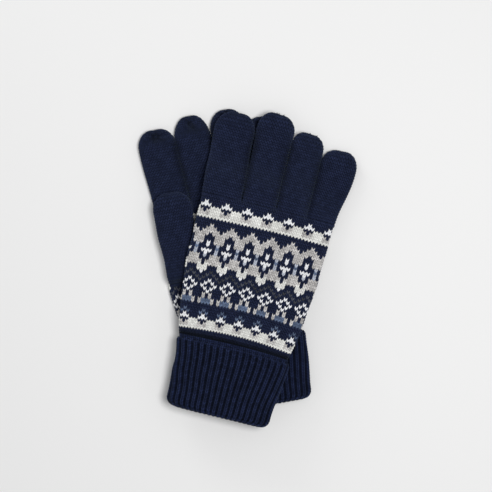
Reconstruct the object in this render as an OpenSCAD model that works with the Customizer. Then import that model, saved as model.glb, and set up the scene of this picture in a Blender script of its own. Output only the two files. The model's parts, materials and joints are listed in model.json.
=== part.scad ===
// A pair of knitted gloves laid flat, one on the other. The left glove lies palm up at the bottom,
// its thumb folded over the palm. The right glove lies back up across it, its thumb tucked beneath.
// Each glove is drawn in its own outline frame: x towards the little finger, y from the cuff's
// folded edge to the fingertips, z = 0 on the table. Every piece is a flattened hollow tube.

/* [Fabric] */
// Thickness of the hand and fingers as they lie, both layers and the space between them
lay_t = 8.4; // [7.5:0.1:10]
// Thickness of one knitted layer of the hand and fingers
wall = 1.6; // [1:0.1:1.8]
// Thickness of a folded thumb as it lies
thumb_t = 7.6; // [7:0.1:8.4]
// Thickness of one knitted layer of a thumb
thumb_wall = 1.4; // [1:0.1:1.5]
// Thickness of the ribbed layer that is turned up over the cuff
turn_up_wall = 2.2; // [1.5:0.1:2.6]
// Space between two pieces that move past each other
clearance = 0.3; // [0.2:0.05:0.4]
// Extra height of the right thumb over the left palm, which rises to its own cuff
right_thumb_rise = 0.5; // [0.4:0.05:0.6]
// Radius of the drawn-together knot that closes a fingertip
gather_r = 1.2; // [1:0.1:1.3]

/* [Outline] */
// Length of the turned-up part of the cuff
turn_up_l = 55; // [52:1:58]
// Length of the whole cuff inside the turned-up part
cuff_l = 62; // [60:1:66]
// Distance from the cuff's folded edge to the line where the fingers begin
knuckle_y = 172; // [166:1:176]
// Distance from the cuff's folded edge to the line where the thumb begins
thumb_y = 106; // [100:1:110]
// Space between one finger's base and the hand
finger_gap = 0.6; // [0.4:0.1:1]

/* [Arrangement] */
// Lean of the right glove, clockwise from above
right_lean = 14; // [12:0.5:16]
// Lean of the left glove, anticlockwise from above
left_lean = 10; // [8:0.5:12]

/* [Hidden] */

left = 0;
right = 1;
navy = "#1c2340";
knit_grey = "#8d8e94";

// Middle of each cuff's folded edge, with the origin below the middle of the whole pair
left_place = [9.55, -110.3];
right_place = [-24.85, -117.3];

// Half-width outlines as [y, x] pairs
cuff_left = [[0, -39.5], [50, -43.2], [cuff_l, -46.5]];
cuff_right = [[0, 39.5], [50, 44], [cuff_l, 44.8]];
hand_left = [[cuff_l, -46.5], [76, -49.5], [94, -51.3], [112, -53.4], [148, -54], [knuckle_y, -54.5]];
hand_right = [[cuff_l, 44.8], [76, 48.3], [94, 49.5], [112, 51.8], [148, 53.6], [knuckle_y, 54.5]];

// Each finger of the left, then the right glove: base left and right x, left and right x before
// the tip curves in, tip y
index = [[-56, -27, -59.5, -30.8, 232], [-54.5, -22.4, -56, -25, 239.5]];
middle = [[-26.2, 2, -30, -1, 238.5], [-21.6, 5.4, -23.8, 5.2, 245.5]];
ring = [[2.8, 30, -0.2, 26.5, 239], [6.2, 31.2, 6, 31.8, 236]];
little = [[30.8, 54.5, 27.5, 52, 228.5], [32, 54.5, 33, 61.2, 229]];

// Each thumb: left and right x at the base, at 25 mm and before the tip curves in, tip y
left_thumb_x = [-55, -38, -55.2, -29.5, -56.8, -27.2];
right_thumb_x = [-42, -22, -43.5, -16, -41, -12.5];
thumb_tip_y = 180.5;
thumb_z = lay_t + clearance;

// Steps around the end of a section, along a finger's flat, the hand's and the cuff's
end_steps = 4;
finger_steps = 3;
hand_steps = 8;
cuff_steps = 20;
tip_steps = 4;

// How far a tip's knot sits back from the tip
gather_back = 5.5;

// Height by which the turned-up layer lifts the cuff that it wraps
cuff_lift = turn_up_wall + clearance;

// Smooth step from 0 at a to 1 at b
function ease(a, b, v) = let (t = min(1, max(0, (v - a) / (b - a)))) t * t * (3 - 2 * t);

// Underside of the left glove, which lies on the table
function left_base(x, y) = cuff_lift * (1 - ease(cuff_l, 95, y));

// Distance beyond the left glove's right-hand edge, in the right glove's outline frame
function beyond(x, y) = (x - 53) * cos(24) + (y - 90) * sin(24);

// Underside of the right glove: over the left glove, raised over the thumbs and the left cuff,
// down to the table at the right, and sagging at the cuff's free left corner
function right_base(x, y) =
    let (
        raised = (1 - ease(-5, 45, x) * ease(90, 130, y)) * (1 - ease(180, 206, y)),
        sag = 4.5 * (1 - ease(-50, -27, x)) * (1 - ease(turn_up_l, turn_up_l + 21, y))
    )
    (lay_t + clearance) * (1 - ease(4, 44, beyond(x, y)))
        + (thumb_t + clearance + right_thumb_rise) * raised - sag;

function base(glove, x, y) = glove == left ? left_base(x, y) : right_base(x, y);

// Flat ring of points around a section that spans x from xl to xr, half_t thick each way from mid_z
function section(glove, xl, xr, y, mid_z, half_t, steps, draped) =
    let (
        xc = (xl + xr) / 2,
        hw = (xr - xl) / 2,
        r = min(half_t, hw * 0.98),
        f = hw - r
    )
    [for (p = concat(
        [for (i = [0:steps]) [2 * f * i / steps - f, -half_t]],
        [for (i = [1:end_steps - 1]) let (a = 180 * i / end_steps - 90) [f + r * cos(a), half_t * sin(a)]],
        [for (i = [0:steps]) [f - 2 * f * i / steps, half_t]],
        [for (i = [1:end_steps - 1]) let (a = 180 * i / end_steps + 90) [r * cos(a) - f, half_t * sin(a)]]))
        [xc + p[0], y, mid_z + p[1] + (draped ? base(glove, xc + p[0], y) : 0)]];

// Two triangles for each side of each step between rings of n points
function band(n, rings, start, inward) = [
    for (j = [0:rings - 2], i = [0:n - 1])
        let (
            a = start + j * n + i,
            b = start + j * n + (i + 1) % n,
            c = b + n,
            d = a + n
        )
        each inward ? [[c, b, a], [d, c, a]] : [[a, b, c], [a, c, d]]
];

// Flat ring-shaped face between an outer and an inner ring
function lip(n, outer, inner, far) = [
    for (i = [0:n - 1])
        let (k = (i + 1) % n)
        each far
            ? [[outer + i, outer + k, inner + k], [outer + i, inner + k, inner + i]]
            : [[inner + k, outer + k, outer + i], [inner + i, inner + k, outer + i]]
];

// Flat face across a finger's section, in strips from its underside to its top
function cap(start, far) =
    let (
        n = 2 * (finger_steps + end_steps),
        last = finger_steps + end_steps / 2 - 1
    )
    [
        for (i = [-end_steps / 2:last])
            let (
                a = start + (i + n) % n,
                b = start + (i + 1 + n) % n,
                c = start + (2 * finger_steps + end_steps - i - 1) % n,
                d = start + (2 * finger_steps + end_steps - i) % n
            )
            each [for (f = [[a, b, c], [a, c, d]])
                if (f[0] != f[1] && f[1] != f[2] && f[0] != f[2]) far ? f : [f[2], f[1], f[0]]]
    ];

// Tube that is open at both ends
module open_tube(outer, inner) {
    n = len(outer[0]);
    rings = len(outer);
    polyhedron(
        points = concat([for (s = outer) each s], [for (s = inner) each s]),
        faces = concat(
            band(n, rings, 0, false),
            band(n, rings, rings * n, true),
            lip(n, 0, rings * n, false),
            lip(n, (rings - 1) * n, (2 * rings - 1) * n, true)),
        convexity = 4);
}

// Tube that is closed at its far end
module closed_tube(outer, inner) {
    n = len(outer[0]);
    rings = len(outer);
    inner_rings = len(inner);
    polyhedron(
        points = concat([for (s = outer) each s], [for (s = inner) each s]),
        faces = concat(
            band(n, rings, 0, false),
            band(n, inner_rings, rings * n, true),
            lip(n, 0, rings * n, false),
            cap((rings - 1) * n, true),
            cap((rings + inner_rings - 1) * n, false)),
        convexity = 4);
}

// Lays one glove in its place in the pair
module lay(glove) {
    place = glove == left ? left_place : right_place;
    translate([place[0], place[1], 0])
        rotate(glove == left ? left_lean : -right_lean)
            children();
}

// Open tube between two [y, x] outlines, lifted and swollen by grow all round
module outline_tube(glove, edge_l, edge_r, rows, grow, skin, steps) {
    function rings(inset) = [
        for (y = rows)
            section(glove, lookup(y, edge_l) - grow + inset, lookup(y, edge_r) + grow - inset, y,
                lay_t / 2, lay_t / 2 + grow - inset, steps, true)
    ];
    lay(glove) open_tube(rings(0), rings(skin));
}

module hand(glove) {
    color(knit_grey)
        outline_tube(glove, hand_left, hand_right,
            [cuff_l, 72, 82, 92, 102, 112, 124, 136, 150, 162, knuckle_y], 0, wall, hand_steps);
}

module cuff(glove) {
    color(navy)
        outline_tube(glove, cuff_left, cuff_right, [0, 25, 50, turn_up_l, cuff_l], 0, wall, cuff_steps);
}

module turn_up(glove) {
    color(navy)
        outline_tube(glove, cuff_left, cuff_right, [-0.6, 25, 50, turn_up_l],
            turn_up_wall + clearance, turn_up_wall, cuff_steps);
}

// Share of full width left at distance d into a rounded tip of depth r
function tip_share(d, r) = sqrt(max(0, 1 - pow(d / r, 2)));

// Closed tube for a finger, its sections parallel to the knuckle line
module finger(glove, shapes) {
    shape = shapes[glove];
    y0 = knuckle_y + finger_gap;
    y1 = shape[4];
    depth = (shape[3] - shape[2]) / 2;
    y_curve = y1 - depth;
    // Ring at y of the outer skin, or of the skin's inside
    function ring_at(y, inset) =
        let (
            u = min(1, (y - y0) / (y_curve - y0)),
            xl = shape[0] + (shape[2] - shape[0]) * u,
            xr = shape[1] + (shape[3] - shape[1]) * u,
            share = max(0.3, tip_share(max(0, y - y_curve) * 0.97, depth)),
            xc = (xl + xr) / 2,
            hw = (xr - xl) / 2 * share,
            half_t = lay_t / 2 * pow(share, 0.5)
        )
        section(glove, xc - hw + inset, xc + hw - inset, y, lay_t / 2, half_t - inset, finger_steps, true);
    straight = [for (u = [0, 0.25, 0.5, 0.75]) y0 + (y_curve - y0) * u];
    curved = [for (i = [0:tip_steps]) y_curve + depth * sin(90 * i / tip_steps)];
    inside = [for (i = [0:tip_steps - 1]) y_curve + (depth - 4) * sin(90 * i / (tip_steps - 1))];
    color(navy) lay(glove)
        closed_tube(
            [for (y = concat(straight, curved)) ring_at(y, 0)],
            [for (y = concat(straight, inside)) ring_at(y, wall)]);
}

// Middle height of a thumb, which lies flat in its own layer between the two gloves
function thumb_mid(glove) = thumb_z + thumb_t / 2 + (glove == left ? 0 : right_thumb_rise);

// Closed tube for a thumb
module thumb(glove) {
    x = glove == left ? left_thumb_x : right_thumb_x;
    depth = (x[5] - x[4]) / 2;
    y_curve = thumb_tip_y - depth;
    edge_l = [[thumb_y, x[0]], [thumb_y + 22, x[2]], [y_curve, x[4]]];
    edge_r = [[thumb_y, x[1]], [thumb_y + 22, x[3]], [y_curve, x[5]]];
    function ring_at(y, inset) =
        let (
            share = max(0.3, tip_share(max(0, y - y_curve) * 0.97, depth)),
            xc = (lookup(y, edge_l) + lookup(y, edge_r)) / 2,
            hw = (lookup(y, edge_r) - lookup(y, edge_l)) / 2 * share,
            half_t = thumb_t / 2 * pow(share, 0.5)
        )
        section(glove, xc - hw + inset, xc + hw - inset, y, thumb_mid(glove), half_t - inset,
            finger_steps, false);
    straight = [thumb_y, thumb_y + 10, thumb_y + 22, thumb_y + 40];
    curved = [for (i = [0:tip_steps]) y_curve + depth * sin(90 * i / tip_steps)];
    inside = [for (i = [0:tip_steps - 1]) y_curve + (depth - 4) * sin(90 * i / (tip_steps - 1))];
    color(navy) lay(glove)
        closed_tube(
            [for (y = concat(straight, curved)) ring_at(y, 0)],
            [for (y = concat(straight, inside)) ring_at(y, thumb_wall)]);
}

// Drawn-together knot that closes a fingertip, on the side of the palm: up on the left glove's
// fingers and down on the right's
module finger_gather(glove, shapes) {
    shape = shapes[glove];
    x = (shape[2] + shape[3]) / 2;
    y = shape[4] - gather_back;
    z = base(glove, x, y) + lay_t / 2 + (glove == left ? 1 : -1) * (lay_t / 2 - 1.3);
    color(navy) lay(glove) translate([x, y, z]) sphere(r = gather_r, $fn = 20);
}

// The same for a thumb, whose palm side faces its own glove's palm
module thumb_gather(glove) {
    x = glove == left ? left_thumb_x : right_thumb_x;
    z = thumb_mid(glove) + (glove == left ? -1 : 1) * (thumb_t / 2 - 1.3);
    color(navy) lay(glove)
        translate([(x[4] + x[5]) / 2, thumb_tip_y - gather_back, z]) sphere(r = gather_r, $fn = 20);
}

hand(left);  // left_hand
finger(left, index);  // left_index_finger
finger(left, middle);  // left_middle_finger
finger(left, ring);  // left_ring_finger
finger(left, little);  // left_little_finger
thumb(left);  // left_thumb
cuff(left);  // left_cuff
turn_up(left);  // left_turn_up
finger_gather(left, index);  // left_index_tip_gather
finger_gather(left, middle);  // left_middle_tip_gather
finger_gather(left, ring);  // left_ring_tip_gather
finger_gather(left, little);  // left_little_tip_gather
thumb_gather(left);  // left_thumb_tip_gather
hand(right);  // right_hand
finger(right, index);  // right_index_finger
finger(right, middle);  // right_middle_finger
finger(right, ring);  // right_ring_finger
finger(right, little);  // right_little_finger
thumb(right);  // right_thumb
cuff(right);  // right_cuff
turn_up(right);  // right_turn_up
finger_gather(right, index);  // right_index_tip_gather
finger_gather(right, middle);  // right_middle_tip_gather
finger_gather(right, ring);  // right_ring_tip_gather
finger_gather(right, little);  // right_little_tip_gather
thumb_gather(right);  // right_thumb_tip_gather
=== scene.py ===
"""A pair of knitted gloves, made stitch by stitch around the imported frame.

Each glove is worked in its own outline frame, in millimetres: x towards the little finger, y from
the cuff's folded edge to the fingertips, z up from the table. A glove's place comes from its
hand-opening mount, and every piece is placed on the table in metres at the end.
"""
import json
import math

import bpy
import numpy as np
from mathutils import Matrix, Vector


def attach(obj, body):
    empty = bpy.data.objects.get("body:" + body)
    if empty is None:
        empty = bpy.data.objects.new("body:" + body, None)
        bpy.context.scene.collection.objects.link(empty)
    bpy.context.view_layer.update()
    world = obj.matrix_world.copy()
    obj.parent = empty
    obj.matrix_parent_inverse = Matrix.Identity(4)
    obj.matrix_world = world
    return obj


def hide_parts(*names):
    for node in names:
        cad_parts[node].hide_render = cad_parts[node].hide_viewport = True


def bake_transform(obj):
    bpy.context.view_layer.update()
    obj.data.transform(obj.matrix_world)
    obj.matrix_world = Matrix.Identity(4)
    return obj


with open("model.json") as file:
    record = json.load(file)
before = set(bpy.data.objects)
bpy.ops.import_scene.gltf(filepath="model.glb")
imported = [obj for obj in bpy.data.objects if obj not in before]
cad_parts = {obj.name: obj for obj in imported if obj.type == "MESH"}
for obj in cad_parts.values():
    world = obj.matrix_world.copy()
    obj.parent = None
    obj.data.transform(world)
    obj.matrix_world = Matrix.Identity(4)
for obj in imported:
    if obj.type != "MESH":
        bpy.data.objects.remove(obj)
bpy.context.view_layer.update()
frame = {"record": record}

MM = 0.001

# ---------------------------------------------------------------- fabric sizes, in millimetres

LAY_T = 8.4          # thickness of a hand or finger as it lies
THUMB_T = 7.6        # thickness of a folded thumb as it lies
WALL = 1.6           # one layer of stocking stitch
THUMB_WALL = 1.4     # the same for a thumb
TURN_UP_WALL = 1.3   # from the middle of the turned-up rib's relief to its inner face
CLEARANCE = 0.3      # between pieces that move past each other
CUFF_L = 62.0        # cuff, from the folded edge to the hand
TURN_UP_L = 55.0     # the part of the cuff that is turned up
KNUCKLE_Y = 172.0    # line where the fingers begin
THUMB_Y = 106.0      # line where the thumbs begin
THUMB_TIP_Y = 180.5
COURSE = 2.24        # height of one row of stitches
CUFF_LIFT = 2.5      # the turned-up layer lifts the cuff by its own thickness
THUMB_Z = LAY_T + CLEARANCE      # underside of the left thumb, on its palm
RIGHT_THUMB_RISE = 0.5           # how much higher the right thumb lies
SKIN_IN = 0.45       # the stitches stand proud of the skin they are worked on
CUFF_CORNER = 6.5    # radius of the cuff's corners, seen from above
STITCH_W = 2.8       # width of one stitch of the hand
FINGER_ROOT_Y = 168.0            # first row of the fingers, inside the end of the hand
THUMB_ROOT_Y = (106.0, 97.0)     # first row of each thumb, inside its palm
ROOT_SINK = 1.3      # how much thinner hand and fingers get where they overlap

LEFT, RIGHT = 0, 1
SIDES = ("left", "right")

# Outlines as (y, left x, right x)
HAND_EDGE = [(52, -44.0, 43.2), (62, -46.5, 44.8), (76, -49.5, 48.3), (94, -51.3, 49.5),
             (112, -53.4, 51.8), (148, -54.0, 53.6), (172, -54.5, 54.5), (182, -55.0, 54.6)]
CUFF_EDGE = [(-1, -39.4, 39.4), (0, -39.5, 39.5), (25, -41.4, 41.7), (50, -43.2, 44.0), (62, -46.5, 44.8)]

# Base left and right x, left and right x before the tip curves in, tip y, depth and bluntness of
# the tip's curve, slope across the tip, and columns of stitches
FINGERS = {
    "index": ((-56.0, -26.6, -60.2, -30.0, 232.6, 14, 2.3, 0.00, 25),
              (-54.5, -22.0, -57.2, -25.2, 238.6, 15, 2.2, 0.00, 26)),
    "middle": ((-26.6, 2.0, -30.6, -1.0, 239.0, 18, 2.0, 0.00, 24),
               (-22.0, 5.8, -24.2, 5.4, 245.2, 14, 2.5, -0.10, 24)),
    "ring": ((2.4, 29.8, -0.4, 27.8, 239.0, 15, 2.0, 0.00, 23),
             (5.8, 31.9, 5.4, 32.1, 236.2, 13, 2.5, -0.10, 22)),
    "little": ((30.4, 54.5, 27.5, 52.0, 228.5, 14, 2.2, 0.00, 21),
               (31.2, 54.9, 31.8, 61.6, 229.2, 14, 2.3, 0.06, 22)),
}
# Left and right x at the base, 22 mm on, and before the tip curves in
THUMBS = ((-54.2, -38, -55.6, -29.5, -57.6, -25.6), (-42, -22, -43.5, -16, -41, -12.5))


def ease(a, b, v):
    """Smooth step from 0 at a to 1 at b."""
    t = np.clip((v - a) / (b - a), 0, 1)
    return t * t * (3 - 2 * t)


def through(v, knots, column):
    """Smooth curve through a column of the knots, at v."""
    ks = np.array([k[0] for k in knots], float)
    xs = np.array([k[column] for k in knots], float)
    slope = np.gradient(xs, ks)
    i = np.clip(np.searchsorted(ks, v) - 1, 0, len(ks) - 2)
    span = ks[i + 1] - ks[i]
    t = np.clip((v - ks[i]) / span, 0, 1)
    return ((2 * t ** 3 - 3 * t ** 2 + 1) * xs[i] + (t ** 3 - 2 * t ** 2 + t) * span * slope[i]
            + (3 * t ** 2 - 2 * t ** 3) * xs[i + 1] + (t ** 3 - t ** 2) * span * slope[i + 1])


def ripple(x, y, seed, size):
    """Gentle unevenness between about -1 and 1, with waves about size millimetres long."""
    rng = np.random.default_rng(seed)
    total = 0
    for _ in range(5):
        angle, phase = rng.uniform(0, 2 * math.pi, 2)
        k = 2 * math.pi / (size * rng.uniform(0.7, 1.5))
        total = total + np.sin(k * (x * math.cos(angle) + y * math.sin(angle)) + phase)
    return total / 3.2       # five waves rarely add up to more


# ---------------------------------------------------------------- how each glove lies

LEAN_APART = math.radians(24)    # between the gloves, which lean 10 degrees one way and 14 the other
SAG = 4.5                        # of the right cuff's corner, where nothing lies under it


def left_base(x, y):
    """Underside of the left glove, which lies on the table."""
    return CUFF_LIFT * (1 - ease(CUFF_L, 95, y)) + 0 * x


def right_base(x, y):
    """Underside of the right glove, over the left glove, its cuff and both thumbs."""
    # How far a point lies towards the left glove's little-finger edge and past it
    beyond = (x - 53) * math.cos(LEAN_APART) + (y - 90) * math.sin(LEAN_APART)
    # The thumbs raise it, but not at the little finger's side or out at the fingertips
    raised = (1 - ease(-5, 45, x) * ease(90, 130, y)) * (1 - ease(180, 206, y))
    sag = SAG * (1 - ease(-50, -27, x)) * (1 - ease(TURN_UP_L, TURN_UP_L + 21, y))
    return ((LAY_T + CLEARANCE) * (1 - ease(4, 44, beyond))
            + (THUMB_T + CLEARANCE + RIGHT_THUMB_RISE) * raised - sag)


BASES = (left_base, right_base)


def thumb_mid(side):
    """Middle height of a thumb, which lies flat between the two gloves."""
    return THUMB_Z + THUMB_T / 2 + RIGHT_THUMB_RISE * side


def placing(side):
    """Origin in millimetres and anticlockwise lean of a glove, from its hand-opening mount."""
    mount = next(m for m in frame["record"]["mounts"] if m["name"] == f"{SIDES[side]}_hand_opening")
    out = mount["axis"]
    return np.array(mount["pos_m"][:2]) / MM, math.atan2(out[0], -out[1])


PLACES = (placing(LEFT), placing(RIGHT))


def on_table(side, p):
    """Points of a glove's outline frame, in millimetres, as points of the row frame in metres."""
    (ox, oy), lean = PLACES[side]
    x, y, z = p[..., 0], p[..., 1], p[..., 2]
    out = np.stack([ox + x * math.cos(lean) - y * math.sin(lean),
                    oy + x * math.sin(lean) + y * math.cos(lean),
                    np.maximum(z, 0.05)], -1)
    return out * MM


# ---------------------------------------------------------------- skins that stitches are worked on

class Skin:
    """Flattened tube, as a function of column c and row r of its stitches.

    Column 0 is centred phase mm right of the middle of the upper face, and c grows towards +x there.
    """

    SAMPLES = 120        # points on each flat face and each round edge of a quarter of the section
    FACE_END = 0.9       # share of the half width where the face's points end
    EDGE_POWER = 2.15    # 2 would round the edge as an ellipse

    def __init__(self, side, columns, width, half_t, phase=0.0):
        self.side, self.columns, self.half_t = side, columns, half_t
        half_w = width / 2
        # A superellipse whose faces stay flat to about 1.15 half thicknesses from the edge, where
        # x ** n has come down to 0.36
        n = math.log(0.36) / math.log(1 - 1.15 * half_t / half_w)
        m = self.EDGE_POWER
        x = np.linspace(0, self.FACE_END, self.SAMPLES)
        z = np.linspace((1 - self.FACE_END ** n) ** (1 / m), 0, self.SAMPLES)[1:]
        quarter = np.stack([np.concatenate([x, (1 - z ** m) ** (1 / n)]),
                            np.concatenate([(1 - x ** n) ** (1 / m), z])])
        back, flip = quarter[:, -2::-1], np.array([[1], [-1]])
        half = np.concatenate([quarter, back * flip], 1)
        self.ring = np.concatenate([half, half[:, -2::-1] * -flip], 1)
        step = np.hypot(*(np.diff(self.ring) * np.array([[half_w], [half_t]])))
        self.turn = np.concatenate([[0], np.cumsum(step)]) / step.sum()
        self.start = np.interp(phase / half_w, quarter[0], self.turn[:quarter.shape[1]])

    def around(self, c, bias=0.0):
        """Unit section coordinates at column c. bias crowds columns onto the upper face."""
        f = c / self.columns
        f = (f - bias / self.columns * np.sin(2 * math.pi * f) + self.start) % 1.0
        return np.interp(f, self.turn, self.ring[0]), np.interp(f, self.turn, self.ring[1])

    def settle(self, x, y, sz, half_t, mid, drape=True):
        """Height of a point of the section, on the lie of the glove."""
        base = BASES[self.side](x, y) if drape else 0
        return base + mid + half_t * sz

    def crease_shade(self, x, y, facing):
        """Painted crease shade of a point, from 0 to 1, which darkens the yarn's colour to stand for the
        shade in a crease.

        facing is the upward part of the surface's normal there.
        """
        return 0 * x


LOBES_Y = 163.0          # where the hand starts to part into fingers
BETWEEN_LOBES = 0.34     # share of the thickness that is left between two fingers


def lobes(side, x, y):
    """Share of full thickness across the knuckles, where the hand parts into fingers."""
    share = np.zeros_like(x)
    for shapes in FINGERS.values():
        xl, xr = shapes[side][0], shapes[side][1]
        across = np.clip(np.abs((x - (xl + xr) / 2) / ((xr - xl) / 2)), 0, 1)
        share = np.maximum(share, (1 - across ** 3.2) ** 0.43)
    share = np.maximum(share, BETWEEN_LOBES)
    return 1 - (1 - share) * ease(LOBES_Y, KNUCKLE_Y + 1, y)


class HandSkin(Skin):
    """The palm and back of a hand, from under the turned-up layer to the fingers' roots."""

    COLUMNS, ROWS = 78, 58
    WIDTH = 107          # in the middle of the hand
    TOP_Y = 171.96       # top of the last row, in the middle of the hand
    TALL, SHRINK = 2.28, 0.00257  # height of that row, and how much less each row down takes
    MID_LIFT = 0.45      # how much further up the rows of the mid palm lie
    ARCH = 3.0           # how far the rows by the cuff curve down to both edges
    BALL = 2.8           # how far the ball of the left palm stands out
    BALL_DROP = 5.5      # and how far its rows curve down to the edge

    def __init__(self, side):
        super().__init__(side, self.COLUMNS, self.WIDTH, LAY_T / 2 - SKIN_IN)

    def row_y(self, r):
        """Height up the glove of a row, in the middle of the hand."""
        down = self.ROWS - r
        y = self.TOP_Y - self.TALL * down + self.SHRINK * down ** 2
        return y + self.MID_LIFT * np.exp(-((y - 98) / 16) ** 2)

    def point(self, c, r):
        rough_y = self.row_y(r)
        # The columns lean a little across the hand, and crowd onto its upper face except by the fingers
        drift = (0.022 * (rough_y - 75) - 0.3) / STITCH_W
        sx, sz = self.around(c + drift, 0.5 - 0.56 * ease(135, 168, rough_y))
        y = rough_y - self.ARCH * (1 - ease(70, 150, rough_y)) * sx ** 2
        # The rows also droop to the thumb's side, most of all where the left thumb draws them down
        thumb_side = np.maximum(-sx, 0)
        y = y - (0.2 + 0.9 * ease(80, 140, rough_y)) * thumb_side ** 2
        if self.side == LEFT:
            y = y - self.BALL_DROP * thumb_side ** 4 * ease(62, 88, y) * (1 - ease(100, 140, y))
        y = y + 0.35 * ripple(sx * 54, rough_y, 11 + self.side, 55)
        xl, xr = through(y, HAND_EDGE, 1), through(y, HAND_EDGE, 2)
        if self.side == LEFT:
            xl = xl - self.BALL * ease(56, 78, y) * (1 - ease(100, 122, y))
        edge = 0.4 * ripple(y, 0 * y, 21 + self.side, 34)
        x = (xl + xr) / 2 + ((xr - xl) / 2 - SKIN_IN + edge) * sx
        half_t = self.half_t * lobes(self.side, x, y)
        half_t = half_t + 0.3 * ripple(x, y, 31 + self.side, 42) * (1 - ease(150, 172, y))
        # Pinched in where it comes out from under the turned-up layer
        half_t = half_t * (0.35 + 0.65 * ease(54.5, 61, y))
        # Its finger end sinks into the fingers, which carry on from it
        half_t = half_t - ROOT_SINK * ease(169.8, 171.9, y)
        z = self.settle(x, y, sz, half_t, LAY_T / 2)
        return np.stack([x, y, z], -1)

    def crease_shade(self, x, y, facing):
        """Painted shadow where the hand comes out from under the turned-up layer."""
        return 1 - ease(58.8, 63.6, y + 1.4 * (x / 50) ** 2)


class Tip:
    """Rounded tip whose rows close on a knot that sits on the palm's face rather than at the end."""

    SWING = math.radians(50)     # how far the knot's end turns onto the palm's face
    LAST_TURN = 0.985            # stops the rows just short of a point

    def __init__(self, half_w, depth, power, face):
        self.power, self.face = power, face
        t = np.linspace(0, math.pi / 2, 400)
        out = np.cos(t) ** (2 / power) * half_w
        up = np.sin(t) ** (2 / power) * depth
        arc = np.concatenate([[0], np.cumsum(np.hypot(np.diff(out), np.diff(up)))])
        self.t, self.arc = t, arc
        self.rows = arc[-1] / COURSE

    def turn(self, r):
        """Angle up the tip at a number of rows into it."""
        return np.interp(r * COURSE, self.arc, self.t) * self.LAST_TURN

    def shape(self, sx, sz, turn):
        """Shares of half width, depth and half thickness at a point of the tip."""
        swing = self.SWING * ease(0, math.pi / 2, turn) * self.face
        w, up = np.cos(turn), np.sin(turn)
        x = w * sx
        y = up * np.cos(swing) - w * sz * np.sin(swing)
        z = w * sz * np.cos(swing) + up * np.sin(swing)
        # The plan outline is blunt where the power is over 2
        flat = np.hypot(x, np.maximum(y, 0)) + 1e-9
        angle = np.arctan2(np.maximum(y, 0), np.abs(x))
        reach = (np.cos(angle) ** self.power + np.sin(angle) ** self.power) ** (-1 / self.power)
        blunt = 1 + (reach - 1) * np.minimum(flat, 1) * (self.power > 2)
        return x * blunt, y * blunt, np.clip(z, -1, 1)


class DigitSkin(Skin):
    """What fingers and thumbs share: a straight tube, then a rounded tip with a dimple at its knot.

    face is 1 where the knot is on the upper face and -1 where it is on the lower one.
    """

    KNOT_IN = 5.5        # from the end of the tip to the knot
    DIMPLE = 2.3         # depth of its dimple
    PLEATS, PLEAT = 7, 0.5       # number and height of the pleats around it

    def __init__(self, side, columns, xl, xr, tip_y, depth, power, slope, half_t, face, seed):
        super().__init__(side, columns, xr - xl, half_t)
        self.tip = Tip((xr - xl) / 2, depth, power, face)
        self.depth, self.slope, self.face, self.seed = depth, slope, face, seed
        self.curve_y = tip_y - depth
        self.straight_rows = (self.curve_y - self.first_y) / COURSE
        self.rows = self.straight_rows + self.tip.rows
        self.knot_x, self.knot_y = (xl + xr) / 2, tip_y - self.KNOT_IN
        self.fold = (1.0, 0.0, 4.4, 3.0)      # direction of the dimple, and its reach along and across

    def point(self, c, r):
        sx, sz = self.around(c)
        turn = self.tip.turn(np.maximum(r - self.straight_rows, 0))
        shape_x, shape_y, shape_z = self.tip.shape(sx, sz, turn)
        y = np.minimum(self.first_y + r * COURSE, self.curve_y) + self.depth * shape_y
        xl, xr, mid, half_t, drape = self.lie(y)
        half_w = (xr - xl) / 2 - SKIN_IN + 0.35 * ripple(y, 0 * y, self.seed, 30)
        x = (xl + xr) / 2 + half_w * shape_x + 0.3 * ripple(y, 0 * y, self.seed + 3, 45)
        y = y + self.slope * (x - self.knot_x) * np.sin(turn) ** 2
        half_t = half_t * (1 + 0.06 * ripple(x, y, self.seed + 7, 26))
        d2, angle = self.from_knot(x, y)
        pleats = self.PLEAT * np.cos(self.PLEATS * angle) * np.exp(-((np.sqrt(d2) - 1.5) / 0.8) ** 2)
        dimple = np.where(shape_z * self.face > 0, self.DIMPLE * np.exp(-d2) + pleats, 0)
        z = self.settle(x, y, shape_z, half_t, mid, drape) - self.face * dimple
        return np.stack([x, y, z], -1)

    def from_knot(self, x, y):
        """Square of the distance from the knot, in reaches of its dimple, and the angle around it."""
        dx, dy = x - self.knot_x, y - self.knot_y
        ux, uy, long, short = self.fold
        d2 = ((dx * ux + dy * uy) / long) ** 2 + ((dy * ux - dx * uy) / short) ** 2
        return d2, np.arctan2(dy, dx)

    def crease_shade(self, x, y, facing):
        """Painted shade in the dimple, on the face that has it."""
        return 0.8 * np.exp(-self.from_knot(x, y)[0] / 1.4) * (facing * self.face > 0)


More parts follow.
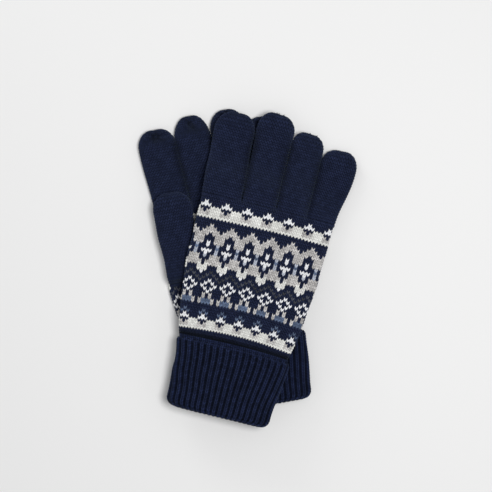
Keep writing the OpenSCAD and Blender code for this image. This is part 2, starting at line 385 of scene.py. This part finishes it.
class FingerSkin(DigitSkin):
    first_y = FINGER_ROOT_Y

    def __init__(self, side, finger):
        xl0, xr0, xl1, xr1, tip_y, depth, power, slope, columns = FINGERS[finger][side]
        self.base_x, self.end_x = (xl0, xr0), (xl1, xr1)
        super().__init__(side, columns, xl1, xr1, tip_y, depth, power, slope, LAY_T / 2 - SKIN_IN,
                         1 if side == LEFT else -1, 40 + 10 * side + list(FINGERS).index(finger))
        names = list(FINGERS)
        i = names.index(finger)
        # Where the painted shade beside the neighbouring fingers ends
        self.beside = [min(tip_y, FINGERS[names[j]][side][4]) - 4 if 0 <= j < 4 else 0
                       for j in (i - 1, i + 1)]
        if side == LEFT and finger == "middle":
            # Its dimple is a slanting fold, further in
            self.knot_y -= 2
            self.fold = (0.5, -0.87, 5.5, 1.8)

    def lie(self, y):
        """Left and right edge, middle height, half thickness, and that it drapes over the glove below."""
        u = ease(-0.15, 1.0, (y - KNUCKLE_Y) / (self.curve_y - KNUCKLE_Y))
        xl = self.base_x[0] + (self.end_x[0] - self.base_x[0]) * u
        xr = self.base_x[1] + (self.end_x[1] - self.base_x[1]) * u
        return xl, xr, LAY_T / 2, self.half_t - ROOT_SINK * (1 - ease(168.8, 170.8, y)), True

    def crease_shade(self, x, y, facing):
        """Painted shade beside the neighbouring fingers too."""
        xl, xr = self.lie(y)[:2]
        depth = [(1 - ease(0.4, 6.0, np.abs(x - edge))) * (1 - ease(end - 10, end, y))
                 for edge, end in zip((xl, xr), self.beside)]
        between = 0.55 * np.maximum(*depth) * ease(FINGER_ROOT_Y, FINGER_ROOT_Y + 16, y)
        return np.maximum(between, super().crease_shade(x, y, facing))


class ThumbSkin(DigitSkin):
    ROOT_DEPTH = 6.0     # how far the middle of the root sinks into the palm

    def __init__(self, side):
        self.first_y = THUMB_ROOT_Y[side]
        shape = THUMBS[side]
        inward = 4 if side == LEFT else 6     # the hidden end of the root is narrower
        depth = (shape[5] - shape[4]) / 2 * 0.95
        curve_y = THUMB_TIP_Y - depth
        self.edge = [(90, shape[0] + inward, shape[1] - 4), (THUMB_Y, shape[0], shape[1]),
                     (THUMB_Y + 22, shape[2], shape[3]), (curve_y, shape[4], shape[5]),
                     (THUMB_TIP_Y, shape[4], shape[5])]
        super().__init__(side, 24, shape[4], shape[5], THUMB_TIP_Y, depth, 2.15, 0,
                         THUMB_T / 2 - SKIN_IN, -1 if side == LEFT else 1, 70 + side)

    def lie(self, y):
        """The same, where the root sinks into the palm and nothing drapes."""
        sunk = (1 - ease(self.first_y, THUMB_Y + 8, y)) * (1 if self.side == LEFT else -1)
        mid = thumb_mid(self.side) - self.ROOT_DEPTH * sunk
        half_t = self.half_t * (1 - 0.35 * np.abs(sunk))
        return through(y, self.edge, 1), through(y, self.edge, 2), mid, half_t, False


class RibSkin(Skin):
    """The cuff's inner layer, or the layer turned up over it when turned is true."""

    RIBS = 39
    WIDTH = 88           # in the middle of the cuff
    RIB_IN = 0.5         # from the outline to the middle of the rib's relief
    TURN_UP_OUT = 2.2    # how far the turned-up layer lies outside the other
    FOLD_L = 3.4         # over which its fold rounds in
    LIP_L, LIP = 2.2, 0.7        # over which its raised edge rolls down, and how far

    def __init__(self, side, turned):
        self.turned = turned
        self.first_y = -0.6 if turned else 0.2
        self.last_y = TURN_UP_L if turned else 58.0
        self.rows = (self.last_y - self.first_y) / COURSE
        super().__init__(side, self.RIBS, self.WIDTH, LAY_T / 2 - self.RIB_IN, phase=1.0)

    def point(self, c, r):
        y = self.first_y + r * COURSE
        sx, sz = self.around(c, -0.62 * ease(5, 52, y))
        corner = np.clip(CUFF_CORNER - (y - self.first_y), 0, CUFF_CORNER)
        drawn_in = CUFF_CORNER - np.sqrt(CUFF_CORNER ** 2 - corner ** 2)
        xl, xr = through(y, CUFF_EDGE, 1), through(y, CUFF_EDGE, 2)
        if self.side == LEFT:
            # Its lower corner spreads out from under the right glove
            xr = xr + 1.4 * (1 - ease(15, 50, y))
        edge = 0.35 * ripple(y, 0 * y, 91 + self.side, 26)
        half_w = (xr - xl) / 2 - self.RIB_IN - drawn_in * 0.8 + edge
        half_t = self.half_t
        if self.turned:
            # The fold rounds in to meet the inner layer, and the raised edge rolls down a little
            fold = np.sqrt(np.clip(1 - np.clip(1 - (y - self.first_y) / self.FOLD_L, 0, 1) ** 2, 0, 1))
            lip = self.LIP * np.clip(1 - (self.last_y - y) / self.LIP_L, 0, 1) ** 2
            half_w = half_w + self.TURN_UP_OUT * fold - lip
            half_t = half_t + self.TURN_UP_OUT * fold - lip
        x = (xl + xr) / 2 + half_w * sx
        y = y - (1.6 * sx ** 2 * ease(20, TURN_UP_L, y)) + 0.3 * ripple(x, y, 95 + self.side, 60)
        z = self.settle(x, y, sz, half_t + 0.18 * ripple(x, y, 97, 40), LAY_T / 2)
        return np.stack([x, y, z], -1)


# ---------------------------------------------------------------- stitches

STEPS = 3            # steps across one leg of a stitch, and up one row
SLANT = 0.75         # how far a leg rises from the middle of its stitch to the edge, in rows
PLUMP = 0.8          # how far a leg stands proud, in millimetres
RIDGE = 0.64         # share of a rib that its ridge takes up
DIP = 0.55           # depth of the dips between rows, in millimetres
RIDGE_DIP, PURL_DIP = 0.34, 0.2


def plain_columns(skin):
    """Positions, slants, heights and dips between rows of stocking stitch around a skin."""
    c = np.arange(skin.columns * 2 * STEPS) / (2 * STEPS) - 0.5
    off = np.abs(c - np.round(c)) * 2
    leg = np.maximum(np.sin(math.pi * (1 - off)), 0) ** 0.8
    return c, SLANT * off, PLUMP * (leg + 0.1 * (1 - off) ** 4), DIP + 0 * c


def rib_columns(skin):
    """The same for one-by-one rib: a ridge of two legs, then a sunk purl column."""
    legs = 2 * STEPS
    p = np.concatenate([np.arange(legs) / legs * RIDGE, RIDGE + (1 - RIDGE) * np.arange(STEPS) / STEPS])
    p = np.tile(p, skin.columns)
    c = np.repeat(np.arange(skin.columns), 3 * STEPS) + p - RIDGE / 2
    across = np.clip(p / RIDGE, 0, 1)
    on_ridge = p < RIDGE
    off = np.where(on_ridge, np.abs(across - 0.5) * 2, 1.0)
    round_top = (1 - np.minimum(off, 1) ** 2.4) ** 0.5
    groove = 0.3 * (1 - np.clip(off / 0.34, 0, 1))
    deep = 1 - 0.45 * np.abs((p - RIDGE) / (1 - RIDGE) - 0.5) * 2
    scale = 1.0 if skin.turned else 0.55      # the inner layer is stretched flatter
    height = np.where(on_ridge, -0.55 + 1.45 * round_top - groove, -1.05 * deep) * scale
    return c, SLANT * off, height, np.where(on_ridge, RIDGE_DIP, PURL_DIP) * scale


def normals(skin, c, r):
    """Outward normals of a skin."""
    e = 0.04         # a small part of a stitch
    du = skin.point(c + e, r) - skin.point(c - e, r)
    dv = skin.point(c, r + e) - skin.point(c, r - e)
    n = np.cross(du, dv)
    return n / np.maximum(np.linalg.norm(n, axis=-1, keepdims=True), 1e-9)


def band(count, a, b):
    """Quads between two rings of count points, which start at the indices a and b."""
    i = np.arange(count)
    k = (i + 1) % count
    return np.stack([a + i, a + k, b + k, b + i], -1)


def fan(count, ring, middle):
    """Triangles from a ring of count points, which starts at the index ring, to the point middle."""
    i = np.arange(count)
    return np.stack([ring + i, ring + (i + 1) % count, np.full(count, middle)], -1)


def relief(columns, r, rows, closed):
    """How far the yarn stands out of the skin, in millimetres."""
    _, _, height, dip = columns
    up = np.sin(math.pi * (r % 1.0)) ** 0.7
    out = height[None, :] - dip[None, :] * (1 - up)
    if closed:
        return out * (1 - 0.6 * ease(rows - 4, rows, r))
    # Thinner towards both finished edges
    return out * (0.25 + 0.75 * ease(0, 2.5, r)) * (0.2 + 0.8 * ease(0, 2.2, rows - r))


def knit(name, skin, rows, columns, wall, closed, colour_of=None):
    """Mesh object of a knitted tube: stitches outside, a smooth layer inside, and a rim that joins them.

    rows is the number of rows, columns the result of plain_columns or rib_columns, and closed says
    that the far end is drawn together. colour_of gives the material index of column and row arrays.
    """
    c1, slant = columns[:2]
    count = len(c1)
    r1 = np.arange(rows * STEPS + 1) / STEPS
    c, r_flat = np.meshgrid(c1, r1)
    # Stitches don't slant at a finished edge
    level = np.clip(r_flat / 1.5, 0, 1) * np.clip((rows - r_flat) / 1.5, 0, 1)
    r = r_flat + slant[None, :] * level
    n = normals(skin, c, r)
    skin_points = skin.point(c, r)
    outer = skin_points + n * relief(columns, r_flat, rows, closed)[..., None]

    inner_rows = list(range(0, len(r1) - (3 * STEPS if closed else 0), 2 * STEPS))
    if not closed and inner_rows[-1] != len(r1) - 1:
        inner_rows.append(len(r1) - 1)
    inner = skin_points[inner_rows] - n[inner_rows] * wall

    # Rings of points are numbered row by row, first the outer ones and then the inner ones
    start_in = len(r1) * count
    last_out = start_in - count
    last_in = start_in + (len(inner_rows) - 1) * count
    leg = np.array([[0, 1, 1, 0]]) + np.arange(count)[:, None]

    def stitch_uv(low, high):
        """Leg and row at the corners of the quads between two rows."""
        return np.stack([leg / STEPS, np.tile([low, low, high, high], (count, 1))], -1)

    faces = [band(count, j * count, (j + 1) * count) for j in range(len(r1) - 1)]
    uvs = [stitch_uv(low, high) for low, high in zip(r1, r1[1:])]
    for a, (low, high) in enumerate(zip(inner_rows, inner_rows[1:])):
        faces.append(band(count, start_in + a * count, start_in + (a + 1) * count)[:, ::-1])
        uvs.append(stitch_uv(r1[high], r1[low]))
    rims = [band(count, 0, start_in)[:, ::-1]]
    if not closed:
        rims.append(band(count, last_out, last_in))
    quads = np.concatenate(faces + rims)

    points = [outer.reshape(-1, 3), inner.reshape(-1, 3)]
    triangles = np.zeros((0, 3), int)
    if closed:
        tip = last_in + count
        points += [outer[-1].mean(0)[None], inner[-1].mean(0)[None]]
        triangles = np.concatenate([fan(count, last_out, tip),
                                    fan(count, last_in, tip + 1)[:, [1, 0, 2]]])
    points = on_table(skin.side, np.concatenate(points))

    # Rims and tips keep their stitch coordinates at 0, which gets the darkest painted shade, as between
    # two stitches
    uv = np.zeros((quads.size + triangles.size, 2))
    stitched = np.concatenate(uvs).reshape(-1, 2)
    uv[:len(stitched)] = stitched
    # Painted crease shade of each outer point, which darkens its colour in the yarn material
    crease_shade = np.zeros(len(points))
    crease_shade[:start_in] = skin.crease_shade(skin_points[..., 0], skin_points[..., 1], n[..., 2]).ravel()
    ob = mesh_object(name, points, quads, triangles, uv, crease_shade)
    if colour_of:
        material = np.zeros(len(quads) + len(triangles), np.int32)
        middle = c1 + 0.5 * ((np.roll(c1, -1) - c1) % skin.columns)
        row = np.arange(len(r1) - 1)[:, None] // STEPS
        material[:last_out] = colour_of(middle, row).ravel()
        ob.data.polygons.foreach_set("material_index", material)
    return ob


def mesh_object(name, points, quads, triangles, uv, crease_shade):
    """Smooth-shaded mesh object from arrays of points and faces.

    The yarn material reads uv, the leg and row of each corner, and the painted crease shade of each
    point.
    """
    mesh = bpy.data.meshes.new(name)
    mesh.vertices.add(len(points))
    mesh.vertices.foreach_set("co", np.asarray(points, np.float32).ravel())
    mesh.loops.add(quads.size + triangles.size)
    mesh.loops.foreach_set("vertex_index",
                           np.concatenate([quads.ravel(), triangles.ravel()]).astype(np.int32))
    mesh.polygons.add(len(quads) + len(triangles))
    starts = np.concatenate([np.arange(len(quads)) * 4, quads.size + np.arange(len(triangles)) * 3])
    mesh.polygons.foreach_set("loop_start", starts.astype(np.int32))
    mesh.polygons.foreach_set("use_smooth", np.ones(len(starts), bool))
    mesh.update(calc_edges=True)
    mesh.validate()
    mesh.uv_layers.new(name="stitch").data.foreach_set("uv", uv.astype(np.float32).ravel())
    attribute = mesh.attributes.new("crease_shade", "FLOAT", "POINT")
    attribute.data.foreach_set("value", crease_shade.astype(np.float32))
    ob = bpy.data.objects.new(name, mesh)
    bpy.context.scene.collection.objects.link(ob)
    return ob


# ---------------------------------------------------------------- colourwork

# One repeat of six stitches, from the finger side down to the cuff. N navy, W white, C cream,
# L light grey, K charcoal, B denim blue, S pale blue
CHART = """
WNNNNN WWNNNW NNCCCN NLCCCL LLCCCL CCCCCC
NNNNNN NNNNNN
NNNLNN NNLLLN NLLLLL LLLNLL LLNNNL LLNNNL LLNWNL SNNWNN BNNNNN SNWWWN SNNWNN LLNSNL
LLNNNL LLLNLL LLCNCL NNCCCN NNCCCN
KNNWNN NKNNNK NNKNKN WNNKNN NWNNNW NNWNWN NWNNNW WNNNNN
NLNNNL NLNNNL BBLNLB BBLNLB
NNNNNN NNNNNN BNNNNN NBNNNB
WNNNNN WWNNNW NNCCCN NLCCCL LLCCCL CCCCCC
""".split()
CHART_FIRST_ROW = 8      # rows of navy below the chart
YARNS = "NWCLKBS"
REPEAT = 6


def chart_colours(c, row):
    """Yarn index of each stitch of the hand."""
    column = np.round(c).astype(int) % REPEAT
    line = len(CHART) - 1 - (row - CHART_FIRST_ROW)
    table = np.array([[YARNS.index(stitch) for stitch in text] for text in CHART])
    known = (line >= 0) & (line < len(CHART))
    return np.where(known, table[np.clip(line, 0, len(CHART) - 1), column], 0)


# ---------------------------------------------------------------- materials

SHEEN_TINT = (0.55, 0.72, 0.9, 1)
TWIST = 2.5          # turns of the plies in one row
PLY = 0.16           # how much the twist shows
CREASE_SHADE_STRENGTH = 0.85   # how much darker the painted crease shade makes the colour at its deepest
RIB_EDGE_ROWS = (23.0, 24.4)     # rows over which the rib's painted valley shade fades out at its finished edge


class Graph:
    """Nodes of a new material, with short ways to add to them."""

    def __init__(self, name):
        self.material = bpy.data.materials.new(name)
        self.material.use_nodes = True
        self.tree = self.material.node_tree
        self.shader = self.tree.nodes["Principled BSDF"]
        self.place = self.node("ShaderNodeTexCoord").outputs["Object"]

    def node(self, kind):
        return self.tree.nodes.new(kind)

    def put(self, socket, value):
        """Links a socket to another, or sets it to a number."""
        if isinstance(value, bpy.types.NodeSocket):
            self.tree.links.new(value, socket)
        else:
            socket.default_value = value

    def calc(self, operation, a, b=0.0, c=0.0):
        """Output of a math node."""
        n = self.node("ShaderNodeMath")
        n.operation = operation
        for socket, value in zip(n.inputs, (a, b, c)):
            self.put(socket, value)
        return n.outputs[0]

    def dim(self, light, value, factor, rest=1.0):
        """light times (value times factor, plus rest)."""
        return self.calc("MULTIPLY", light, self.calc("MULTIPLY_ADD", value, factor, rest))

    def noise(self, scale, detail, roughness=0.6):
        """Noise around 0.5, with scale spots in a metre."""
        n = self.node("ShaderNodeTexNoise")
        n.inputs["Scale"].default_value = scale
        n.inputs["Detail"].default_value = detail
        n.inputs["Roughness"].default_value = roughness
        self.put(n.inputs["Vector"], self.place)
        return n.outputs["Fac"]

    def edge_of(self, value):
        """0 in the middle of each unit of value, up to 1 at its ends."""
        centred = self.calc("SUBTRACT", self.calc("FRACT", value), 0.5)
        return self.calc("POWER", self.calc("MULTIPLY", self.calc("ABSOLUTE", centred), 2.0), 3.0)

    def map_range(self, *values, smooth=False):
        """The value, its range from and to, and the range that it is brought to."""
        n = self.node("ShaderNodeMapRange")
        if smooth:
            n.interpolation_type = "SMOOTHSTEP"
        for socket, value in zip(n.inputs, values):
            self.put(socket, value)
        return n.outputs[0]


def rib_valley_shade(g, leg, row):
    """Painted shade in the middle of every third leg, the purl column sunk between two ridges."""
    off = g.calc("ABSOLUTE", g.calc("SUBTRACT", g.calc("FRACT", g.calc("DIVIDE", leg, 3.0)), 0.833))
    valley_shade = g.map_range(off, 0.05, 0.22, 0.24, 1.0, smooth=True)
    edge = g.map_range(row, *RIB_EDGE_ROWS, 0.0, 0.85)
    return g.calc("MAXIMUM", valley_shade, edge)


def yarn(name, colour, contrast, sheen, gap_shade, uneven, rib=False):
    """Matt spun yarn, twisted of two plies, with painted shade in the gaps between the stitches.

    contrast is the spread between the lightest and darkest fibres, gap how dark the painted shade is
        between stitches, and uneven how much one stitch differs from the next.
    """
    g = Graph(name)
    g.shader.inputs["Roughness"].default_value = 0.95
    g.shader.inputs["Specular IOR Level"].default_value = 0.06
    g.shader.inputs["Sheen Weight"].default_value = sheen
    g.shader.inputs["Sheen Roughness"].default_value = 0.5
    g.shader.inputs["Sheen Tint"].default_value = SHEEN_TINT

    stitch = g.node("ShaderNodeUVMap")
    stitch.uv_map = "stitch"
    split = g.node("ShaderNodeSeparateXYZ")
    g.put(split.inputs[0], stitch.outputs["UV"])
    leg, row = split.outputs[0], split.outputs[1]

    twist = g.calc("SINE", g.calc("MULTIPLY", g.calc("MULTIPLY_ADD", row, TWIST, leg), 2 * math.pi))
    # Painted shade in the gaps between legs and between rows
    light = g.calc("MULTIPLY_ADD", g.edge_of(leg), -gap_shade, 1.0)
    light = g.dim(light, g.edge_of(row), -0.9 * gap_shade)
    light = g.dim(light, twist, 0.5 * PLY)
    light = g.dim(light, g.noise(1500, 3), 2 * contrast, 1.0 - contrast)     # fibres
    light = g.dim(light, g.noise(60, 2), 0.3, 0.85)                          # patches

    cell = g.node("ShaderNodeCombineXYZ")
    g.put(cell.inputs[0], g.calc("FLOOR", g.calc("MULTIPLY", leg, 0.5)))
    g.put(cell.inputs[1], g.calc("FLOOR", row))
    each = g.node("ShaderNodeTexWhiteNoise")
    each.noise_dimensions = "2D"
    g.put(each.inputs["Vector"], cell.outputs[0])
    light = g.dim(light, each.outputs["Value"], 2 * uneven, 1.0 - uneven)
    # The rib gets painted shade in its valleys
    if rib:
        light = g.calc("MULTIPLY", light, rib_valley_shade(g, leg, row))
    # Painted crease shade, read from the point attribute, darkens the colour
    crease_shade = g.node("ShaderNodeAttribute")
    crease_shade.attribute_name = "crease_shade"
    light = g.dim(light, crease_shade.outputs["Fac"], -CREASE_SHADE_STRENGTH)

    shade = g.node("ShaderNodeMix")
    shade.data_type = "RGBA"
    shade.blend_type = "MULTIPLY"
    shade.inputs[0].default_value = 1.0
    shade.inputs[6].default_value = (*colour, 1)
    g.put(shade.inputs[7], light)
    g.put(g.shader.inputs["Base Color"], shade.outputs[2])

    bump = g.node("ShaderNodeBump")
    bump.inputs["Strength"].default_value = 0.6
    bump.inputs["Distance"].default_value = 0.0003
    g.put(bump.inputs["Height"], g.calc("MULTIPLY_ADD", twist, 0.35, g.noise(3000, 3, 0.7)))
    g.put(g.shader.inputs["Normal"], bump.outputs["Normal"])
    return g.material


NAVY = yarn("yarn_navy", (0.0180, 0.0250, 0.0640), 0.5, 0.13, 1.0, 0.2)
# The same navy yarn, with a base colour darkened to stand for the rib's shade, and painted shade in its
# valleys
NAVY_RIB_SHADED = yarn("yarn_navy_rib_shaded", (0.0143, 0.0213, 0.0598), 0.5, 0.06, 0.9, 0.28, rib=True)
WHITE = yarn("yarn_white", (0.97, 0.98, 1.0), 0.16, 0.05, 0.3, 0.05)
CREAM = yarn("yarn_cream", (0.90, 0.90, 0.86), 0.2, 0.05, 0.4, 0.12)
LIGHT_GREY = yarn("yarn_light_grey", (0.665, 0.645, 0.63), 0.4, 0.05, 0.6, 0.24)
CHARCOAL = yarn("yarn_charcoal", (0.072, 0.078, 0.098), 0.8, 0.1, 0.6, 0.4)
DENIM = yarn("yarn_denim", (0.13, 0.175, 0.28), 0.4, 0.1, 0.5, 0.3)
PALE_BLUE = yarn("yarn_pale_blue", (0.52, 0.56, 0.65), 0.25, 0.05, 0.4, 0.15)
ALL_YARNS = (NAVY, WHITE, CREAM, LIGHT_GREY, CHARCOAL, DENIM, PALE_BLUE)     # in the order of YARNS


def dress(ob, materials):
    """Gives a piece its yarns."""
    for m in materials:
        ob.data.materials.append(m)


# ---------------------------------------------------------------- the pieces

KNOT_R, KNOT_H = 1.25, 0.85      # radius and half height of the knot at a tip
KNOT_AROUND, KNOT_UP = 48, 12    # points around it, and steps from pole to pole
KNOT_SHADE = 0.75               # painted shade over the whole knot, as it lies deep in its dimple
FINGER_KNOT_OUT, THUMB_KNOT_OUT = 1.9, 1.7       # from the middle of the thickness to the knot


def make_hand(side):
    name = f"{SIDES[side]}_hand"
    skin = HandSkin(side)
    ob = knit(f"{name}_knit", skin, skin.ROWS, plain_columns(skin), WALL, False, chart_colours)
    dress(ob, ALL_YARNS)
    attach(ob, name)
    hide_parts(name)


def bend_at(ob):
    """Bakes a digit's placement on the table into its mesh."""
    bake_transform(ob)


def make_finger(side, finger):
    name = f"{SIDES[side]}_{finger}_finger"
    skin = FingerSkin(side, finger)
    ob = knit(f"{name}_knit", skin, math.ceil(skin.rows), plain_columns(skin), WALL, True)
    dress(ob, (NAVY,))
    bend_at(ob)
    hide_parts(name)
    x, y = skin.knot_x, skin.knot_y
    z = BASES[side](x, y) + LAY_T / 2 + skin.face * FINGER_KNOT_OUT
    make_gather(f"{SIDES[side]}_{finger}_tip_gather", name, side, (x, y, z), skin.face)


def make_thumb(side):
    name = f"{SIDES[side]}_thumb"
    skin = ThumbSkin(side)
    ob = knit(f"{name}_knit", skin, math.ceil(skin.rows), plain_columns(skin), THUMB_WALL, True)
    dress(ob, (NAVY,))
    bend_at(ob)
    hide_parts(name)
    z = thumb_mid(side) + skin.face * THUMB_KNOT_OUT
    make_gather(f"{name}_tip_gather", name, side, (skin.knot_x, skin.knot_y, z), skin.face)


def make_gather(node, body, side, centre, face):
    """Knot of yarn that draws a fingertip closed: a low button with pleats running out from it."""
    a = np.arange(KNOT_AROUND) * 2 * math.pi / KNOT_AROUND
    rings = []
    for j in range(KNOT_UP + 1):
        t = math.pi * (0.02 + 0.96 * j / KNOT_UP)
        radius = KNOT_R * math.sin(t) * (1 + 0.16 * np.cos(6 * a + 1.3 * math.cos(t)) * math.sin(t))
        # The last pole, which faces out, is dented
        z = -KNOT_H * math.cos(t) - 0.28 * math.exp(-((t - math.pi) / 0.5) ** 2)
        rings.append(np.stack([radius * np.cos(a), radius * np.sin(a), np.full(KNOT_AROUND, z)], -1))
    poles = [rings[0].mean(0)[None], rings[-1].mean(0)[None]]
    points = on_table(side, np.concatenate(rings + poles) * np.array([1, 1, face]) + np.array(centre))
    last = KNOT_UP * KNOT_AROUND
    first_pole = last + KNOT_AROUND
    quads = np.concatenate([band(KNOT_AROUND, ring, ring + KNOT_AROUND)
                            for ring in range(0, last, KNOT_AROUND)])
    triangles = np.concatenate([fan(KNOT_AROUND, 0, first_pole)[:, [1, 0, 2]],
                                fan(KNOT_AROUND, last, first_pole + 1)])
    if face < 0:
        quads, triangles = quads[:, ::-1], triangles[:, ::-1]
    # Stitch coordinates that put painted shade on the knot in six stripes along its pleats
    pleats = np.append(np.tile(0.5 + 0.3 * np.cos(3 * a) ** 2, KNOT_UP + 1), (0.5, 0.5))
    corners = np.concatenate([quads.ravel(), triangles.ravel()])
    uv = np.stack([pleats[corners], np.full(len(corners), 0.5)], -1)
    # The whole knot gets painted shade
    ob = mesh_object(f"{node}_knot", points, quads, triangles, uv, np.full(len(points), KNOT_SHADE))
    dress(ob, (NAVY,))
    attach(ob, body)
    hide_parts(node)


def make_cuff(side):
    for part, body, turned in (("cuff", "hand", False), ("turn_up", "turn_up", True)):
        name = f"{SIDES[side]}_{part}"
        skin = RibSkin(side, turned)
        wall = TURN_UP_WALL if turned else WALL
        ob = knit(f"{name}_rib", skin, round(skin.rows), rib_columns(skin), wall, False)
        dress(ob, (NAVY_RIB_SHADED,))
        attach(ob, f"{SIDES[side]}_{body}")
        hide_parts(name)


for side in (LEFT, RIGHT):
    make_hand(side)
    make_cuff(side)
    make_thumb(side)
    for finger in FINGERS:
        make_finger(side, finger)

# ---------------------------------------------------------------- floor, light and camera

VIEW_W = 0.3936          # width of the table that the picture takes in
VIEW_CENTRE = (-0.0016, 0.0180)
LENS, SENSOR = 150.0, 36.0
MEAN_HEIGHT = 0.015      # height at which that width is measured
FLOOR_HALF = 3.0
LIGHT_SIZE = 0.5
STUDIO_LIGHT = 0.36      # strength of the light from all around


def make_floor():
    mesh = bpy.data.meshes.new("floor")
    s = FLOOR_HALF
    mesh.from_pydata([(-s, -s, 0), (s, -s, 0), (s, s, 0), (-s, s, 0)], [], [(0, 1, 2, 3)])
    ob = bpy.data.objects.new("floor", mesh)
    bpy.context.scene.collection.objects.link(ob)
    m = bpy.data.materials.new("pale_floor")
    m.use_nodes = True
    shader = m.node_tree.nodes["Principled BSDF"]
    shader.inputs["Base Color"].default_value = (0.86, 0.857, 0.85, 1)
    shader.inputs["Roughness"].default_value = 0.9
    shader.inputs["Specular IOR Level"].default_value = 0.1
    ob.data.materials.append(m)


def make_light(name, place, power):
    """Round soft light that points at the gloves."""
    data = bpy.data.lights.new(name, "AREA")
    data.shape = "DISK"
    data.size = LIGHT_SIZE
    data.energy = power
    ob = bpy.data.objects.new(name, data)
    ob.location = place
    ob.rotation_euler = (-Vector(place)).to_track_quat("-Z", "Y").to_euler()
    bpy.context.scene.collection.objects.link(ob)


def make_camera():
    """Camera that looks straight down."""
    data = bpy.data.cameras.new("camera")
    data.lens = LENS
    data.sensor_width = SENSOR
    data.clip_start = 0.01
    ob = bpy.data.objects.new("camera", data)
    ob.location = (*VIEW_CENTRE, VIEW_W * LENS / SENSOR + MEAN_HEIGHT)
    bpy.context.scene.collection.objects.link(ob)
    bpy.context.scene.camera = ob


def make_studio():
    """Even pale light from all around."""
    world = bpy.data.worlds.new("studio")
    world.use_nodes = True
    background = world.node_tree.nodes["Background"]
    background.inputs["Color"].default_value = (0.97, 0.98, 1.0, 1)
    background.inputs["Strength"].default_value = STUDIO_LIGHT
    bpy.context.scene.world = world
    bpy.context.scene.view_settings.view_transform = "Standard"


make_floor()
make_light("main", (0.30, 0.0, 1.3), 11.0)
make_light("rim", (-0.55, 0.85, 0.35), 2.6)
make_camera()
make_studio()
